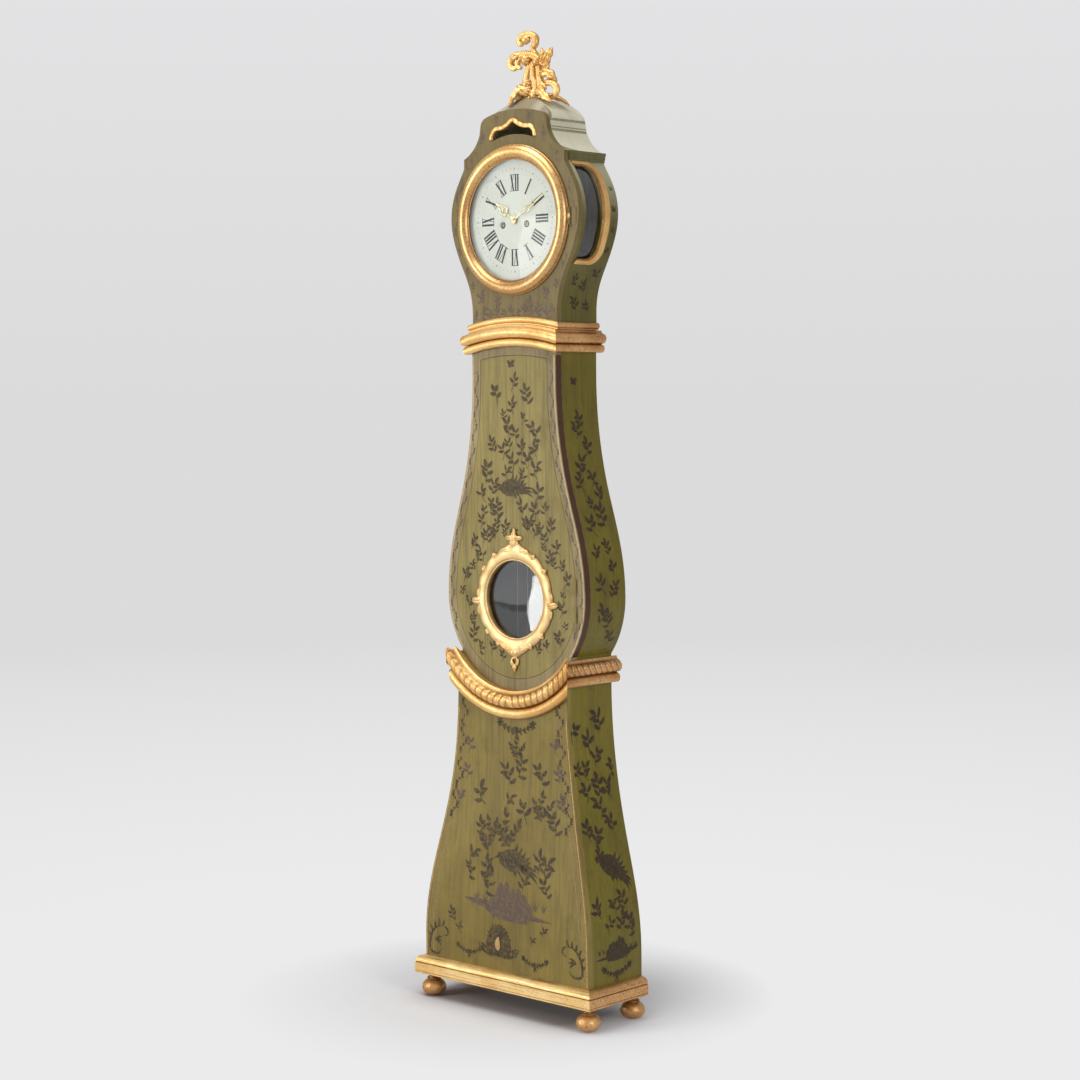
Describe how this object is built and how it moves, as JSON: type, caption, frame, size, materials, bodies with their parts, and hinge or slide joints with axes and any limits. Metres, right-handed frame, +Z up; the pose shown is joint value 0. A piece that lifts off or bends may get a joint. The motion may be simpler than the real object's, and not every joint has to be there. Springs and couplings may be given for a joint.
{
  "type": "mora longcase clock",
  "caption": "Free-standing Swedish rococo longcase clock with a pear-shaped trunk, round dial behind a hinged bezel, sliding hood, carved gilt mouldings and cresting.",
  "frame": {"origin": "centre of the overall footprint on the floor, under the feet", "axes": "+Z up, +X to the right of someone who faces the dial, the dial looks towards -Y"},
  "size_m": [0.622, 0.239, 2.5184],
  "materials": {
    "painted_wood": "satin",
    "bare_wood": "matte",
    "gilded_wood": "satin",
    "clear_glass": "gloss",
    "gilt_brass": "polished",
    "hinge_brass": "satin",
    "lock_iron": "matte",
    "clock_brass": "satin",
    "bell_metal": "polished",
    "pallet_steel": "satin",
    "dial_enamel": "gloss",
    "hand_brass": "polished",
    "weight_iron": "satin",
    "gut_line": "matte"
  },
  "bodies": {
    "case": {"bun_feet": "gilded_wood", "plinth_moulding": "gilded_wood", "bottom_board": "painted_wood", "base_front_panel": "painted_wood", "base_sides": "painted_wood", "waist_moulding": "gilded_wood", "trunk_sides": "painted_wood", "trunk_front_frame": "painted_wood", "backboard": "bare_wood", "neck_moulding": "gilded_wood", "seat_board": "bare_wood", "seat_cheeks": "bare_wood", "frame_hinges": "hinge_brass", "back_plate": "clock_brass", "front_plate": "clock_brass", "plate_pillars": "clock_brass", "dial": "dial_enamel", "bell": "bell_metal", "pendulum_cock": "lock_iron", "line_leads": "gut_line"},
    "door": {"door_panel": "painted_wood", "window_frame": "gilded_wood", "window_glass": "clear_glass", "door_hinges": "hinge_brass", "door_lock": "lock_iron"},
    "bolt": {"lock_bolt": "lock_iron"},
    "hood": {"hood_front_board": "painted_wood", "hood_sides": "painted_wood", "side_light_glass": "clear_glass", "side_light_frames": "gilded_wood", "hood_roof": "painted_wood", "hood_cornices": "painted_wood", "hood_base_bead": "gilded_wood", "aperture_moulding": "gilded_wood", "cresting": "gilded_wood", "hood_hinge_plate": "hinge_brass"},
    "bezel": {"bezel_ring": "gilt_brass", "bezel_glass": "clear_glass"},
    "minute": {"centre_wheel": "clock_brass", "minute_hand": "hand_brass"},
    "hour": {"hour_wheel": "clock_brass", "hour_hand": "hand_brass"},
    "motion": {"minute_wheel": "clock_brass"},
    "third": {"third_wheel": "clock_brass"},
    "escape": {"escape_wheel": "clock_brass"},
    "pallets": {"anchor": "pallet_steel"},
    "pendulum": {"pendulum_rod": "lock_iron", "pendulum_bob": "clock_brass"},
    "going_great": {"going_great_wheel": "clock_brass"},
    "strike_great": {"strike_great_wheel": "clock_brass"},
    "pins": {"pin_wheel": "clock_brass"},
    "hammer_arm": {"hammer": "lock_iron"},
    "going_drum": {"going_barrel": "clock_brass"},
    "strike_drum": {"strike_barrel": "clock_brass"},
    "going_fall": {"going_weight": "weight_iron", "going_line": "gut_line"},
    "going_sheave": {"going_pulley": "clock_brass"},
    "strike_fall": {"strike_weight": "weight_iron", "strike_line": "gut_line"},
    "strike_sheave": {"strike_pulley": "clock_brass"}
  },
  "joints": [
    {"name": "door_hinge", "type": "hinge", "parent": "case", "child": "door", "pos_m": [0.2116, -0.052, 1.074], "axis": [0, 0, 1], "range_deg": [0, 110]},
    {"name": "lock_bolt_slide", "type": "slide", "parent": "door", "child": "bolt", "axis": [-1, 0, 0], "range_m": [0, 0.01]},
    {"name": "hood_slide", "type": "slide", "parent": "case", "child": "hood", "axis": [0, -1, 0], "range_m": [0, 0.26]},
    {"name": "bezel_hinge", "type": "hinge", "parent": "hood", "child": "bezel", "pos_m": [0.195, -0.0475, 2.034], "axis": [0, 0, 1], "range_deg": [0, 105]},
    {"name": "minute_turn", "type": "hinge", "parent": "case", "child": "minute", "pos_m": [0, 0.0455, 2.034], "axis": [0, 1, 0], "continuous": true},
    {"name": "hour_turn", "type": "hinge", "parent": "case", "child": "hour", "pos_m": [0, 0.0455, 2.034], "axis": [0, 1, 0], "continuous": true},
    {"name": "motion_turn", "type": "hinge", "parent": "case", "child": "motion", "pos_m": [0.0126, -0.0045, 2.01218], "axis": [0, 1, 0], "continuous": true},
    {"name": "third_turn", "type": "hinge", "parent": "case", "child": "third", "pos_m": [-0.005, 0.0455, 2.06236], "axis": [0, 1, 0], "continuous": true},
    {"name": "escape_turn", "type": "hinge", "parent": "case", "child": "escape", "pos_m": [0, 0.0455, 2.08737], "axis": [0, 1, 0], "continuous": true},
    {"name": "going_great_turn", "type": "hinge", "parent": "case", "child": "going_great", "pos_m": [0.0415, 0.0485, 2.0225], "axis": [0, 1, 0], "continuous": true},
    {"name": "pin_wheel_turn", "type": "hinge", "parent": "case", "child": "pins", "pos_m": [-0.04471, 0.0455, 2.05916], "axis": [0, 1, 0], "continuous": true},
    {"name": "strike_great_turn", "type": "hinge", "parent": "case", "child": "strike_great", "pos_m": [-0.0415, 0.0485, 2.0225], "axis": [0, 1, 0], "continuous": true},
    {"name": "hammer_lift", "type": "hinge", "parent": "case", "child": "hammer_arm", "pos_m": [-0.068, 0.0455, 2.09], "axis": [0, -1, 0], "range_deg": [0, 14]},
    {"name": "pendulum_swing", "type": "hinge", "parent": "case", "child": "pendulum", "pos_m": [0, 0.0755, 2.115], "axis": [0, 1, 0], "range_deg": [-2.5, 2.5]},
    {"name": "pallet_rock", "type": "hinge", "parent": "case", "child": "pallets", "pos_m": [0, 0.0455, 2.115], "axis": [0, 1, 0], "range_deg": [-2.5, 2.5]},
    {"name": "going_weight_slide", "type": "slide", "parent": "case", "child": "going_fall", "axis": [0, 0, 1], "range_m": [0, 1.15], "deforming": ["going_line"]},
    {"name": "strike_weight_slide", "type": "slide", "parent": "case", "child": "strike_fall", "axis": [0, 0, 1], "range_m": [0, 1.15], "deforming": ["strike_line"]},
    {"name": "going_drum_turn", "type": "hinge", "parent": "case", "child": "going_drum", "pos_m": [0.0415, 0.0295, 2.0225], "axis": [0, 1, 0], "continuous": true},
    {"name": "strike_drum_turn", "type": "hinge", "parent": "case", "child": "strike_drum", "pos_m": [-0.0415, 0.0295, 2.0225], "axis": [0, 1, 0], "continuous": true},
    {"name": "going_sheave_turn", "type": "hinge", "parent": "going_fall", "child": "going_sheave", "pos_m": [0.0387, 0.0275, 0.512], "axis": [0, 1, 0], "continuous": true},
    {"name": "strike_sheave_turn", "type": "hinge", "parent": "strike_fall", "child": "strike_sheave", "pos_m": [-0.0443, 0.0275, 0.512], "axis": [0, 1, 0], "continuous": true}
  ],
  "couplings": [
    {"joint": "hour_turn", "follows": "minute_turn", "ratio": 0.083333},
    {"joint": "motion_turn", "follows": "minute_turn", "ratio": -1},
    {"joint": "third_turn", "follows": "minute_turn", "ratio": -8},
    {"joint": "escape_turn", "follows": "minute_turn", "ratio": 60},
    {"joint": "going_great_turn", "follows": "minute_turn", "ratio": -0.083333},
    {"joint": "strike_great_turn", "follows": "pin_wheel_turn", "ratio": -0.095238},
    {"joint": "pallet_rock", "follows": "pendulum_swing", "ratio": 1},
    {"joint": "going_drum_turn", "follows": "going_weight_slide", "rad_per_m": 96.154},
    {"joint": "going_sheave_turn", "follows": "going_weight_slide", "rad_per_m": 55.556},
    {"joint": "strike_drum_turn", "follows": "strike_weight_slide", "rad_per_m": 96.154},
    {"joint": "strike_sheave_turn", "follows": "strike_weight_slide", "rad_per_m": 55.556}
  ]
}
